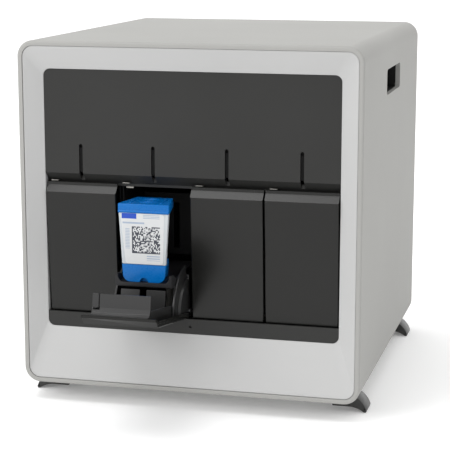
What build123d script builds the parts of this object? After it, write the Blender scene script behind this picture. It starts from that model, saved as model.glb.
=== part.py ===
# Four-bay cartridge analyzer for a laboratory bench, in millimetres.
# +X is to the right seen from the front, +Y runs to the back, +Z is up.
# The origin lies on the bench, below the middle of the outline that the case and its open door make.
from build123d import *
import math
import os

# Case
case_width = 280.0
case_depth = 310.0
case_height = 281.5
case_corner = 13.0
case_wall = 4.0
case_edge = 2.0
case_rear_edge = 1.0
foot_height = 15.0

# Front frame and the dark panels that stand in it, depths counted from the case's front edge
seam_gap = 0.4
frame_set_back = 0.8
frame_wall = 3.0
frame_skirt = 18.0
panel_recess = 9.2
window_width = 242.8
window_bottom = 46.8
window_top = 258.7
window_corner = 5.5
window_lip = 5.0
panel_gap = 0.25
panel_wall = 2.4
fascia_bottom = 174.6
fascia_bevel = 8.0
fascia_lip = 2.0
sill_top = 59.2
sill_ledge_top = 56.4
sill_ledge_end = 19.0
status_hole_radius = 1.2
slot_width = 3.0
slot_length = 24.0
light_pipe_gap = 0.15

# Modules, side by side
module_count = 4
open_module = 2
module_pitch = 60.5
module_width = 59.0
module_wall = 1.2
module_front = 21.4
module_end = 214.0
module_floor = 50.0
module_top = 168.0
bulkhead_depth = 150.0

# Doors
door_width = 59.0
door_skin = 2.0
door_face_offset = 5.0
door_below_hinge = 3.9
door_face_height = 95.7
door_bevel = 5.0
door_return = 2.4
door_flange_wall = 1.8
door_flange_start = 7.0
hinge_depth = 17.4
hinge_height = 64.0
closed_lean = 3.4
open_lean = 81.0
hinge_pin_radius = 1.25
hinge_clearance = 0.05
pin_seat_clearance = 0.02
ear_radius = 2.7

# Inner frame of a door
liner_width = 46.0
liner_wall = 1.6
plate_height = 96.0
plate_wall = 2.0
plate_reach = 18.5
side_rail_reach = 7.0
side_rail_start = 36.0
pusher_height = 38.9
pusher_wall = 2.4
pusher_reach = 18.5
pusher_gap = 5.8
pusher_width = 15.3
cheek_radius = 38.6
cheek_wall = 1.6
cheek_inside = 47.2
cheek_sweep = 75.0
hub_radius = 26.8
hub_wall = 2.1
finger_width = 5.0
finger_slit = 1.0

# Carriage that carries a cartridge in when its door closes
nest_width = 46.0
nest_depth = 36.0
nest_floor = 90.5
nest_wall = 3.6
nest_lip_wall = 1.4
nest_lip_opening = 18.0
nest_lip_end = 100.5
nest_front_out = -19.8
carriage_travel = 55.0
tongue_width = 34.0
tongue_wall = 2.4
rail_spacing = 28.0
rail_side = 4.0
rail_height = 83.0
rail_start = 56.0
rail_clearance = 0.08
bushing_size = 7.0
bushing_length = 12.0
bushing_start = 61.0

# Cartridge
cartridge_width = 41.6
cartridge_foot_width = 34.0
cartridge_back_width = 26.0
cartridge_depth = 32.8
cartridge_lid_height = 6.6
cartridge_base_height = 14.2
cartridge_height = 62.2
cartridge_front_gap = 0.3
cartridge_wall = 1.4
tube_reach = 18.0

# Drives inside a module
drive_depth = 53.0
screw_depth = 71.0
screw_radius = 2.5
screw_bottom = 190.0
screw_top = 254.0
plunger_radius = 3.0
plunger_tip = 164.5
nut_height = 8.0
nut_bottom = 240.0
nut_clearance = 0.08
motor_side = 28.0
motor_height = 30.0
valve_motor_height = 28.0
spindle_radius = 3.0
spindle_driver_radius = 8.0
spindle_top = 84.0
horn_depth = 70.0
horn_radius = 6.0
horn_tip_radius = 2.2
horn_length = 30.0
heater_front = 76.0
heater_depth = 28.0
heater_bottom = 98.0
heater_height = 52.0
heater_slot = 5.0
board_wall = 1.6
hook_offset = 23.0
hook_drop = 4.2

# Hand holds
hand_hole_length = 76.5
hand_hole_height = 21.3
hand_hole_corner = 4.0
hand_hole_centre = 243.1
cup_reach = 26.0
cup_wall = 1.6
cup_flange = 5.0

# Base, rear wall and what it carries
base_wall = 2.0
rear_recess = 6.0
rear_wall = 1.6
rear_rim = 10.0
fan_side = 92.0
fan_height = 180.0
fan_thickness = 25.0
fan_bore_radius = 44.0
rotor_radius = 42.5
rotor_hub_radius = 17.0
blade_count = 7
guard_wire = 1.2
guard_radii = (14.0, 27.0, 40.0)
entry_x = 84.0
entry_z = 60.0
entry_width = 27.6
entry_height = 47.0
inlet_drop = 11.0
switch_rise = 14.0
rocker_tilt = 9.0
rocker_bore_radius = 1.05
port_x = 44.0
port_z = 48.0

# Feet
foot_front_depth = 30.0
foot_rear_depth = 273.0
foot_length = 22.0
foot_inside = 113.0
foot_toe = 140.6
foot_pad = 4.2

# Derived places
door_length = door_face_height + door_bevel + door_return
open_elevation = math.radians(90.0 - open_lean)
door_reach = door_length * math.cos(open_elevation) - hinge_depth
front_y = -(case_depth - door_reach) / 2.0
rear_y = front_y + case_depth
module_centres = [(i - (module_count - 1) / 2.0) * module_pitch for i in range(module_count)]
hinge_y = front_y + hinge_depth
hinge_z = foot_height + hinge_height
slide_ratio = carriage_travel / (open_lean - closed_lean)
shell_inside = case_width / 2.0 - case_wall
window_middle = foot_height + (window_bottom + window_top) / 2.0
window_height = window_top - window_bottom


def block(x0, x1, y0, y1, z0, z1):
    """A box between two corners."""
    middle = Pos((x0 + x1) / 2.0, (y0 + y1) / 2.0, (z0 + z1) / 2.0)
    return middle * Box(x1 - x0, y1 - y0, z1 - z0)


def sheet(outline, y0, y1):
    """An outline drawn on the XZ plane, made solid from y0 back to y1."""
    return extrude(Plane.XZ.offset(-y1) * outline, amount=y1 - y0)


def bar(profile, x0, x1):
    """A profile drawn on the YZ plane, made solid from x0 to x1."""
    return extrude(Plane.YZ.offset(x0) * profile, amount=x1 - x0)


def post(radius, x, y, z0, z1):
    """An upright round bar."""
    return Pos(x, y, (z0 + z1) / 2.0) * Cylinder(radius, z1 - z0)


def rod_along_x(radius, y, z, x0, x1):
    """A round bar from left to right."""
    return Pos((x0 + x1) / 2.0, y, z) * Rot(0, 90, 0) * Cylinder(radius, x1 - x0)


def rod_along_y(radius, x, z, y0, y1):
    """A round bar from front to back."""
    return Pos(x, (y0 + y1) / 2.0, z) * Rot(90, 0, 0) * Cylinder(radius, y1 - y0)


def polygon(points):
    """A flat face with straight edges."""
    return make_face(Polyline(*points, close=True))


def rounded(width, height, corner, middle_z):
    """A rounded rectangle centred on the case, in the XZ plane."""
    return Pos(0, middle_z) * RectangleRounded(width, height, corner)


def at_depth(depth):
    """The Y of a depth behind the case's front edge."""
    return front_y + depth


def at_height(height):
    """The Z of a height above the case's underside."""
    return foot_height + height


def single(shape):
    """The one solid that a shape holds."""
    return shape.solids()[0]


def case_shell():
    """Wrap-round case: four walls with rounded corners, open in front and behind."""
    middle = at_height(case_height / 2.0)
    wrap = sheet(rounded(case_width, case_height, case_corner, middle), front_y, rear_y)
    wrap = fillet(wrap.faces().sort_by(Axis.Y)[0].edges(), case_edge)
    wrap = chamfer(wrap.faces().sort_by(Axis.Y)[-1].edges(), case_rear_edge)
    inner = rounded(case_width - 2 * case_wall, case_height - 2 * case_wall, case_corner - case_wall, middle)
    wrap -= sheet(inner, front_y - 1, rear_y + 1)
    hole = Pos(front_y + case_depth / 2.0, at_height(hand_hole_centre))
    hole *= RectangleRounded(hand_hole_length, hand_hole_height, hand_hole_corner)
    reach = case_width / 2.0
    wrap -= bar(hole, shell_inside - 2, reach + 1)
    wrap -= bar(hole, -reach - 1, -shell_inside + 2)
    return single(wrap)


def front_bezel():
    """Picture frame that slopes back from the case's rim to the dark window."""
    middle = at_height(case_height / 2.0)
    gap = case_wall + seam_gap
    wide = case_width - 2 * gap
    high = case_height - 2 * gap
    corner = case_corner - case_wall - seam_gap
    rim_y = at_depth(frame_set_back)
    window_y = at_depth(panel_recess)
    brow = 1.2

    def funnel(shift):
        outer = Plane.XZ.offset(-(rim_y + shift)) * rounded(wide - brow, high - brow, corner - brow / 2, middle)
        inner = Plane.XZ.offset(-(window_y + shift)) * rounded(
            window_width, window_height, window_corner, window_middle)
        return loft([outer, inner])

    ahead = sheet(rounded(wide - brow, high - brow, corner - brow / 2, middle), rim_y, rim_y + frame_wall)
    slope = ahead + funnel(frame_wall) - funnel(0.0)
    skirt = sheet(rounded(wide, high, corner, middle), rim_y, rim_y + frame_skirt)
    skirt -= sheet(
        rounded(wide - 2 * frame_wall, high - 2 * frame_wall, corner - frame_wall, middle),
        rim_y - 1, rim_y + frame_skirt + 1)
    skirt -= sheet(rounded(wide - brow, high - brow, corner - brow / 2, middle), rim_y - 1, rim_y + frame_wall)
    grown = 2 * frame_wall
    lip = sheet(
        rounded(window_width + grown, window_height + grown, window_corner + frame_wall, window_middle),
        window_y - 1, window_y + window_lip)
    lip -= funnel(0.0)
    window = rounded(window_width, window_height, window_corner, window_middle)
    frame = slope + skirt + lip - sheet(window, rim_y - 1, window_y + window_lip + 1)
    return single(frame)


def window_panel(z0, z1, wall):
    """The part of the dark window panel between two heights, with the window's own corners."""
    outline = rounded(
        window_width - 2 * panel_gap, window_height - 2 * panel_gap, window_corner - panel_gap, window_middle)
    plate = sheet(outline, at_depth(panel_recess), at_depth(panel_recess + wall))
    return plate & block(-case_width, case_width, front_y, rear_y, z0, z1)


def upper_fascia():
    """Dark upper panel; its lower edge turns back and down over the door tops, with a slot above each door."""
    bottom = at_height(fascia_bottom)
    plate = window_panel(bottom, at_height(window_top), panel_wall)
    half = window_width / 2.0 - panel_gap
    face = at_depth(panel_recess)
    drop = fascia_bevel
    brow = polygon([
        (face, bottom),
        (face + drop, bottom - drop),
        (face + drop, bottom - drop - fascia_lip),
        (face + drop + panel_wall, bottom - drop - fascia_lip),
        (face + drop + panel_wall, bottom - drop + 1.0),
        (face + panel_wall, bottom + 1.0),
    ])
    fascia = plate + bar(brow, -half, half)
    for x in module_centres:
        top = bottom + slot_length
        fascia -= block(
            x - slot_width / 2.0, x + slot_width / 2.0, face - 1, face + drop * 0.75,
            bottom - drop, top - slot_width / 2.0)
        fascia -= rod_along_y(slot_width / 2.0, x, top - slot_width / 2.0, face - 1, face + panel_wall + 1)
    return single(fascia)


def light_pipes():
    """Smoked status windows that fill the four slots from behind."""
    pipes = []
    face = at_depth(panel_recess)
    bottom = at_height(fascia_bottom)
    half = slot_width / 2.0 - light_pipe_gap
    for x in module_centres:
        pipe = block(x - half, x + half, face + 0.8, face + panel_wall + 0.6,
                     bottom + 1.4, bottom + slot_length - slot_width)
        back = face + panel_wall + 0.1
        pipe += block(x - 4, x + 4, back, back + 1.6, bottom + 3.0, bottom + slot_length + 2)
        pipes.append(single(pipe))
    return pipes


def lower_sill():
    """Dark strip below the doors with a ledge behind it and a small status hole."""
    sill = window_panel(at_height(window_bottom), at_height(sill_top), panel_wall)
    half = window_width / 2.0 - panel_gap - 3.0
    back = at_depth(panel_recess + panel_wall)
    ledge = polygon([
        (back, at_height(sill_ledge_top) - 3.0),
        (back, at_height(sill_ledge_top)),
        (at_depth(sill_ledge_end), at_height(sill_ledge_top)),
        (at_depth(sill_ledge_end), at_height(sill_ledge_top) - 8.0),
        (at_depth(sill_ledge_end) - 2.0, at_height(sill_ledge_top) - 8.0),
        (at_depth(sill_ledge_end) - 2.0, at_height(sill_ledge_top) - 3.0),
    ])
    sill += bar(ledge, -half, half)
    sill -= rod_along_y(
        status_hole_radius, 0, at_height(53.0), at_depth(panel_recess) - 1, at_depth(panel_recess) + 1.6)
    return single(sill)


def on_hinge(shape, lean, centre):
    """Hangs a door part, drawn upright about its hinge line, on the hinge of one module."""
    return Pos(centre, hinge_y, hinge_z) * Rot(lean, 0, 0) * shape


def door_lean(number):
    """How far a door leans forward from upright in the stored pose."""
    return open_lean if number == open_module else closed_lean


def door_panel():
    """Outer door cover: flat face, bevelled top that turns back, and shallow side flanges."""
    face = -door_face_offset
    bend = door_skin * math.tan(math.radians(22.5))
    top = door_face_height + door_bevel
    skin = polygon([
        (face, -door_below_hinge),
        (face, door_face_height),
        (face + door_bevel, top),
        (face + door_bevel, top + door_return),
        (face + door_bevel + door_skin, top + door_return),
        (face + door_bevel + door_skin, top - bend),
        (face + door_skin, door_face_height - bend),
        (face + door_skin, -door_below_hinge),
    ])
    half = door_width / 2.0
    cover = bar(skin, -half, half)
    flange = polygon([
        (face + door_skin, door_flange_start),
        (face + door_skin, door_face_height - bend),
        (face + door_bevel, top - bend - door_skin),
        (face + door_bevel, door_flange_start),
    ])
    cover += bar(flange, -half, -half + door_flange_wall)
    cover += bar(flange, half - door_flange_wall, half)
    uprights = cover.edges().filter_by(Axis.Z).filter_by_position(Axis.Y, face - 0.01, face + 0.01)
    cover = fillet(uprights, 0.8)
    return single(cover)


def door_frame():
    """Moulded inner frame: base, front plate, two pushers, side rails and round cheeks with the hinge bores."""
    inner = -door_face_offset + door_skin
    half = liner_width / 2.0
    base = block(-half, half, inner, inner + liner_wall, 2.0, plate_height - plate_wall + 0.5)
    low = cheek_inside / 2.0 + cheek_wall
    base += block(-low, low, inner, inner + liner_wall, 3.0, cheek_radius - 0.6)
    bend = door_skin * math.tan(math.radians(22.5))
    knee = door_face_height - bend
    back = inner + door_bevel
    plate = polygon([
        (inner, plate_height - plate_wall),
        (plate_reach, plate_height - plate_wall),
        (plate_reach, plate_height),
        (back + 6.0, plate_height),
        (back + 2.6, plate_height + 1.2),
        (back + 0.9, plate_height + 3.4),
        (back + 0.5, plate_height + 6.0),
        (back, plate_height + 6.0),
        (back, knee + door_bevel),
        (inner, knee),
    ])
    base += bar(plate, -half, half)
    for side in (-1, 1):
        near, far = sorted((side * half, side * (half - liner_wall)))
        base += block(near, far, inner, side_rail_reach, side_rail_start, plate_height - plate_wall + 0.5)
        start, end = sorted((side * pusher_gap / 2.0, side * (pusher_gap / 2.0 + pusher_width)))
        base += block(start, end, inner, pusher_reach, pusher_height, pusher_height + pusher_wall)
        base += cheek(side)
    slit = -half + finger_width
    base -= block(slit, slit + finger_slit, 8.0, plate_reach + 1, plate_height - plate_wall - 1, plate_height + 1)
    base -= block(-half + 0.8, slit + finger_slit, 6.2, 8.0, plate_height - plate_wall - 1, plate_height + 1)
    bore = hinge_pin_radius + hinge_clearance
    base -= rod_along_x(bore, 0, 0, -door_width, door_width)
    return single(base)


def cheek(side):
    """Round side plate of a door frame, thicker near the hinge."""
    inner = -door_face_offset + door_skin

    def sector(radius, wall_start, wall):
        start, end = sorted((side * wall_start, side * (wall_start + wall)))
        disc = rod_along_x(radius, 0, 0, start, end)
        reach = 2.0 * radius
        angle = math.radians(cheek_sweep)
        wedge = polygon([
            (inner, -2.6),
            (inner, reach),
            (reach * math.sin(angle) * 2.0, reach * math.cos(angle) * 2.0),
            (2.6, -2.6),
        ])
        return disc & bar(wedge, start - 1, end + 1)

    plate = sector(cheek_radius, cheek_inside / 2.0, cheek_wall)
    return plate + sector(hub_radius, cheek_inside / 2.0 + cheek_wall - 0.01, hub_wall)


def module_chassis(centre):
    """Folded sheet box of one module: bay in front, drive space below and above, electronics behind."""
    half = module_width / 2.0
    y0, y1 = at_depth(module_front), at_depth(module_end)
    bottom = at_height(case_wall + base_wall)
    top = at_height(module_top)
    shelf = at_height(module_floor)
    wall = module_wall
    body = block(-half, half, y0, y1, bottom, top)
    bulkhead = at_depth(bulkhead_depth)
    body -= block(-half + wall, half - wall, y0 - 1, bulkhead, shelf + wall, top - wall)
    body -= block(-half + wall, half - wall, y0 - 1, bulkhead, bottom + wall, shelf)
    body -= block(-half + wall, half - wall, bulkhead + wall, y1 + 1, bottom + wall, top - wall)
    for side in (-1, 1):
        start, end = sorted((side * half, side * (half - wall)))
        ear = rod_along_x(ear_radius, hinge_y, hinge_z, start, end)
        ear += block(start, end, hinge_y, y0 + 1, hinge_z - ear_radius, hinge_z + ear_radius)
        ear -= rod_along_x(hinge_pin_radius + pin_seat_clearance, hinge_y, hinge_z, start - 1, end + 1)
        body += ear
        rail_x = side * rail_spacing / 2.0
        body += block(rail_x - 3, rail_x + 3, at_depth(rail_start), at_depth(rail_start + 3),
                      shelf + wall - 0.5, at_height(rail_height) + 4)
        reach = rail_side / 2.0 + pin_seat_clearance
        body -= block(rail_x - reach, rail_x + reach, at_depth(rail_start) - 1, bulkhead + wall + 1,
                      at_height(rail_height) - reach, at_height(rail_height) + reach)
    y = at_depth(drive_depth)
    gap = plunger_radius + 0.8
    body -= block(-gap, gap, y - gap, y + gap, top - wall - 1, top + 1)
    body -= block(-gap, gap, y - gap, y + gap, shelf - 1, shelf + wall + 1)
    return Pos(centre, 0, 0) * single(body)


def hinge_pins():
    """Steel stub pins, seated in the frames' ears, on which the doors turn."""
    pins = []
    for centre in module_centres:
        for side in (-1, 1):
            start, end = sorted((side * cheek_inside / 2.0, side * module_width / 2.0))
            pins.append(rod_along_x(hinge_pin_radius, hinge_y, hinge_z, centre + start, centre + end))
    return pins


def guide_rails():
    """Square ground rails that the carriages slide on."""
    rails = []
    reach = rail_side / 2.0
    z = at_height(rail_height)
    for centre in module_centres:
        for side in (-1, 1):
            x = centre + side * rail_spacing / 2.0
            rails.append(block(x - reach, x + reach, at_depth(rail_start), at_depth(bulkhead_depth) + module_wall,
                               z - reach, z + reach))
    return rails


def carriage():
    """Nest for a cartridge with a hollowed front lip, and a tongue that runs on the guide rails."""
    half = nest_width / 2.0
    y0 = at_depth(nest_front_out)
    z0 = at_height(nest_floor)
    floor_top = z0 + nest_wall
    tray = block(-half, half, y0 + nest_lip_wall, y0 + nest_depth, z0, floor_top)
    horn = at_height(nest_lip_end)
    near = nest_lip_opening
    far = half - 1.0
    middle = near + 2.2
    crown = make_face(
        Polyline((-near, floor_top), (near, floor_top))
        + ThreePointArc((near, floor_top), (middle, floor_top + 2.4), (far, horn))
        + Polyline((far, horn), (half, horn), (half, z0 + 1.0), (-half, z0 + 1.0), (-half, horn), (-far, horn))
        + ThreePointArc((-far, horn), (-middle, floor_top + 2.4), (-near, floor_top)))
    tray += sheet(crown, y0, y0 + nest_lip_wall)
    for side in (-1, 1):
        start, end = sorted((side * half, side * (half - 2.0)))
        wall = polygon([
            (y0, z0 + 1.0), (y0, at_height(nest_lip_end)),
            (y0 + 6.0, at_height(nest_lip_end)), (y0 + 14.0, floor_top + 2.0),
            (y0 + nest_depth, floor_top + 2.0), (y0 + nest_depth, z0 + 1.0),
        ])
        tray += bar(wall, start, end)
    tongue_end = at_depth(bushing_start + bushing_length)
    tray += block(-tongue_width / 2.0, tongue_width / 2.0, y0 + nest_depth - 1, tongue_end, z0, z0 + tongue_wall)
    reach = rail_side / 2.0 + rail_clearance
    z = at_height(rail_height)
    for side in (-1, 1):
        x = side * rail_spacing / 2.0
        tray += block(x - bushing_size / 2.0, x + bushing_size / 2.0, at_depth(bushing_start), tongue_end,
                      z - bushing_size / 2.0, z0 + 0.5)
        tray -= block(x - reach, x + reach, y0, tongue_end + 1, z - reach, z + reach)
    return single(tray)


def cartridge_outline(front_half, grow=0.0):
    """Plan of the cartridge: wide front, narrower tapering body with a rounded back."""
    y0 = at_depth(nest_front_out) + nest_lip_wall + cartridge_front_gap
    back = cartridge_back_width / 2.0 + grow
    y1 = y0 + cartridge_depth
    step = 4.0
    inset = 4.6
    round_back = 6.0
    return make_face(
        Polyline(
            (-back, y1 - round_back), (-front_half + inset, y0 + step + 1.5), (-front_half, y0 + step),
            (-front_half, y0), (front_half, y0), (front_half, y0 + step),
            (front_half - inset, y0 + step + 1.5), (back, y1 - round_back))
        + ThreePointArc((back, y1 - round_back), (0, y1), (-back, y1 - round_back)))


def cartridge_levels():
    """Heights of the cartridge's bottom, base top, lid bottom and lid top."""
    bottom = at_height(nest_floor) + nest_wall + 0.05
    top = bottom + cartridge_height
    return bottom, bottom + cartridge_base_height, top - cartridge_lid_height, top


def cartridge_half(z):
    """Half width of the cartridge's front at a height."""
    bottom, _, _, top = cartridge_levels()
    share = (z - bottom) / (top - bottom)
    return (cartridge_foot_width + (cartridge_width - cartridge_foot_width) * share) / 2.0


def cartridge_slice(z0, z1):
    """The tapering cartridge between two heights."""
    low = Plane.XY.offset(z0) * cartridge_outline(cartridge_half(z0))
    high = Plane.XY.offset(z1) * cartridge_outline(cartridge_half(z1))
    return loft([low, high])


def cartridge_body():
    """Clear moulded body with the round chamber and the flat reaction tube behind."""
    _, base_top, lid_bottom, _ = cartridge_levels()
    y0 = at_depth(nest_front_out) + nest_lip_wall + cartridge_front_gap
    body = cartridge_slice(base_top + 0.05, lid_bottom - 0.05)
    chamber = post(cartridge_back_width / 2.0 - cartridge_wall, 0, y0 + cartridge_depth / 2.0 + 1.0,
                   base_top + 4.0, lid_bottom + 1.0)
    body -= chamber
    y1 = y0 + cartridge_depth
    low = base_top + 6.0
    tube = polygon([
        (y1 - 3.0, low), (y1 + 6.0, low + 2.0), (y1 + tube_reach, low + 11.0),
        (y1 + 6.0, low + 20.0), (y1 - 3.0, low + 22.0),
    ])
    body += bar(tube, -1.3, 1.3)
    return single(body)


def cartridge_lid():
    """Blue lid with a raised round port and two ribs."""
    _, _, lid_bottom, top = cartridge_levels()
    y0 = at_depth(nest_front_out) + nest_lip_wall + cartridge_front_gap
    plan = Plane.XY.offset(lid_bottom) * cartridge_outline(cartridge_half(top))
    lid = extrude(plan, amount=top - 1.0 - lid_bottom)
    middle = y0 + cartridge_depth / 2.0 + 1.0
    lid += post(8.0, 0, middle, top - 1.5, top)
    lid -= post(5.0, 0, middle, top - 2.4, top + 1)
    for side in (-1, 1):
        lid += block(side * 11.0 - 0.8, side * 11.0 + 0.8, y0 + 8.0, y0 + cartridge_depth - 9.0, top - 1.5, top)
    front_edge = lid.edges().filter_by(Axis.X).group_by(Axis.Y)[0].sort_by(Axis.Z)[-1]
    return single(chamfer(front_edge, 0.8))


def cartridge_base():
    """Blue base with rounded lower corners and a notch below."""
    bottom, base_top, _, _ = cartridge_levels()
    y0 = at_depth(nest_front_out) + nest_lip_wall + cartridge_front_gap
    base = cartridge_slice(bottom, base_top)
    half = cartridge_half(bottom)
    for side in (-1, 1):
        start, end = sorted((side * half, side * (half + 4.0)))
        trim = block(start - 2.4, end + 2.4, y0 - 1, y0 + 7.0, bottom - 1, bottom + 2.4)
        corner = rod_along_y(2.4, side * (half - 2.4), bottom + 2.4, y0 - 2, y0 + 8.0)
        inside = block(-half + 2.4, half - 2.4, y0 - 2, y0 + 8.0, bottom - 2, bottom + 2.4)
        base -= trim - corner - inside
    base -= block(-3.4, 3.4, y0 - 1, y0 + 3.0, bottom - 1, bottom + 2.6)
    base -= post(7.0, 0, y0 + cartridge_depth / 2.0 + 1.0, bottom - 1, bottom + 5.0)
    return single(base)


def heater_blocks():
    """Heater and optics blocks behind the bays, slotted for the reaction tube."""
    blocks = []
    half = module_width / 2.0 - module_wall
    y0 = at_depth(heater_front)
    z0 = at_height(heater_bottom)
    for centre in module_centres:
        unit = block(centre - half, centre + half, y0, y0 + heater_depth, z0, z0 + heater_height)
        slot = heater_slot / 2.0
        unit -= block(centre - slot, centre + slot, y0 - 1, y0 + 20.0, z0 + 5.0, z0 + heater_height - 8.0)
        for fin in range(5):
            z = z0 + 7.0 + fin * 9.0
            unit -= block(centre - half + 6, centre + half - 6, y0 + heater_depth - 7, y0 + heater_depth + 1, z, z + 4.5)
        blocks.append(single(unit))
    return blocks


def motor(centre, depth, z0, z1, bore):
    """A square stepper motor with cut corners and a centre bore for its shaft."""
    side = motor_side / 2.0
    body = block(-side, side, -side, side, z0, z1)
    body = chamfer(body.edges().filter_by(Axis.Z), 3.0)
    body -= post(bore, 0, 0, z0 - 1, z1 + 1)
    return Pos(centre, at_depth(depth), 0) * single(body)


def syringe_motors():
    """Motors on the module roofs that turn the lead screws."""
    z0 = at_height(module_top)
    bore = screw_radius + hinge_clearance
    return [motor(centre, screw_depth, z0, z0 + motor_height, bore) for centre in module_centres]


def valve_motors():
    """Motors under the bay floors that turn the valve spindles."""
    z1 = at_height(module_floor)
    bore = spindle_radius + hinge_clearance
    return [motor(centre, drive_depth, z1 - valve_motor_height, z1, bore) for centre in module_centres]


def lead_screw(centre):
    """Lead screw of one syringe drive, its lower end in the motor."""
    return post(screw_radius, centre, at_depth(screw_depth), at_height(screw_bottom), at_height(screw_top))


def plunger(centre):
    """Syringe plunger: a nut block on the lead screw with the rod that reaches down into the bay."""
    y = at_depth(drive_depth)
    screw_y = at_depth(screw_depth)
    z0 = at_height(nut_bottom)
    arm = block(centre - 7, centre + 7, y - 7, screw_y + 7, z0, z0 + nut_height)
    arm = chamfer(arm.edges().filter_by(Axis.Z), 2.0)
    arm += post(plunger_radius, centre, y, at_height(plunger_tip), z0 + 1.0)
    arm -= post(screw_radius + nut_clearance, centre, screw_y, z0 - 1, z0 + nut_height + 1)
    return single(arm)


def valve_spindle(centre):
    """Valve drive spindle: a shaft with a hexagonal driver below the cartridge."""
    y = at_depth(drive_depth)
    low = at_height(module_floor) - 12.0
    top = at_height(spindle_top)
    driver = Pos(centre, y, top - 6) * extrude(RegularPolygon(spindle_driver_radius, 6), amount=6)
    return single(post(spindle_radius, centre, y, low, top - 2) + driver)


def sonic_horns():
    """Tapered horns on the bay floors that shake the cartridge's chamber."""
    z0 = at_height(module_floor) + module_wall
    horn = Pos(0, at_depth(horn_depth), z0 + horn_length / 2.0) * Cone(horn_radius, horn_tip_radius, horn_length)
    return [Pos(centre, 0, 0) * horn for centre in module_centres]


def module_boards():
    """Circuit boards on rails along the side walls of the modules' rear space."""
    boards = []
    for centre in module_centres:
        x0 = centre - module_width / 2.0 + module_wall
        y0 = at_depth(bulkhead_depth) + module_wall + 3.0
        z0 = at_height(16.0)
        top = x0 + 4.0 + board_wall
        board = block(x0 + 4.0, top, y0, y0 + 54.0, z0, z0 + 140.0)
        board += block(x0, x0 + 4.5, y0, y0 + 54.0, z0 + 2.0, z0 + 5.0)
        board += block(x0, x0 + 4.5, y0, y0 + 54.0, z0 + 135.0, z0 + 138.0)
        board += block(top - 0.2, top + 3.0, y0 + 12.0, y0 + 30.0, z0 + 70.0, z0 + 88.0)
        board += block(top - 0.2, top + 8.0, y0 + 8.0, y0 + 46.0, z0 + 14.0, z0 + 22.0)
        board += block(top - 0.2, top + 5.0, y0 + 34.0, y0 + 46.0, z0 + 100.0, z0 + 124.0)
        boards.append(single(board))
    return boards


def latch_hooks():
    """Spring-steel hooks on the bay roofs that hold the doors' top edges."""
    hooks = []
    roof = at_height(module_top) - module_wall
    for centre in module_centres:
        x = centre - hook_offset
        y = at_depth(module_front)
        hook = polygon([
            (y + 18.0, roof), (y + 0.4, roof), (y + 0.4, roof - hook_drop + 1.0), (y - 1.0, roof - hook_drop + 1.0),
            (y - 1.0, roof - hook_drop), (y + 1.4, roof - hook_drop), (y + 1.4, roof - 1.0), (y + 18.0, roof - 1.0),
        ])
        hooks.append(single(bar(hook, x - 3.0, x + 3.0)))
    return hooks


def handle_cups():
    """Dark moulded cups behind the hand holes."""
    cups = []
    y = front_y + case_depth / 2.0
    z = at_height(hand_hole_centre)
    spot = Pos(y, z)
    for side in (-1, 1):
        def layer(grow, near, far):
            outline = spot * RectangleRounded(
                hand_hole_length + 2 * grow, hand_hole_height + 2 * grow, hand_hole_corner + grow)
            start, end = sorted((side * near, side * far))
            return bar(outline, start, end)

        cup = layer(cup_flange, shell_inside - cup_wall, shell_inside)
        cup += layer(cup_wall, shell_inside - cup_reach, shell_inside)
        cup -= layer(0.0, shell_inside - cup_reach + cup_wall, shell_inside + 1)
        cups.append(single(cup))
    return cups


def base_plate():
    """Steel plate on the case floor that carries the modules and the supply."""
    half = shell_inside - 12.0
    z0 = at_height(case_wall)
    return block(-half, half, at_depth(26.0), rear_y - rear_recess - rear_rim, z0, z0 + base_wall)


def rear_panel():
    """Rear wall with the fan opening, two fields of vent slots and the cut-outs for the sockets."""
    middle = at_height(case_height / 2.0)
    gap = case_wall + seam_gap
    outline = rounded(case_width - 2 * gap, case_height - 2 * gap, case_corner - gap, middle)
    y1 = rear_y - rear_recess
    panel = sheet(outline, y1 - rear_wall, y1)
    rim = sheet(outline, y1 - rear_rim, y1)
    rim -= sheet(
        rounded(case_width - 2 * gap - 2 * rear_wall, case_height - 2 * gap - 2 * rear_wall,
                case_corner - gap - rear_wall, middle), y1 - rear_rim - 1, y1 + 1)
    panel += rim
    panel -= rod_along_y(fan_bore_radius, 0, at_height(fan_height), y1 - rear_wall - 1, y1 + 1)
    for side in (-1, 1):
        for row in range(9):
            z = at_height(136.0 + row * 11.0)
            panel -= block(side * 93.0 - 25.0, side * 93.0 + 25.0, y1 - rear_wall - 1, y1 + 1, z - 2.0, z + 2.0)
    wide = entry_width / 2.0 + 0.2
    high = entry_height / 2.0 + 0.2
    z = at_height(entry_z)
    panel -= block(entry_x - wide, entry_x + wide, y1 - 3, y1 + 1, z - high, z + high)
    z = at_height(port_z)
    panel -= block(port_x - 8.1, port_x + 8.1, y1 - 3, y1 + 1, z - 6.8, z + 6.8)
    return single(panel)


def fan_frame():
    """Square fan housing with its round duct, hub and struts, behind the rear wall."""
    half = fan_side / 2.0
    y1 = rear_y - rear_recess - rear_wall
    y0 = y1 - fan_thickness
    z = at_height(fan_height)
    frame = block(-half, half, y0, y1, z - half, z + half)
    frame = fillet(frame.edges().filter_by(Axis.Y), 4.0)
    frame -= rod_along_y(fan_bore_radius, 0, z, y0 - 1, y1 + 1)
    hub = rod_along_y(rotor_hub_radius, 0, z, y0, y0 + 3.0)
    hub += rod_along_y(2.0, 0, z, y0 + 2.0, y1 - 5.0)
    for step in range(4):
        angle = 45.0 + 90.0 * step
        strut = Pos(0, 0, z) * Rot(0, angle, 0) * block(-2.0, 2.0, y0, y0 + 3.0, rotor_hub_radius - 2, fan_bore_radius + 2)
        hub += strut
    frame += hub
    return single(frame)


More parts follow.
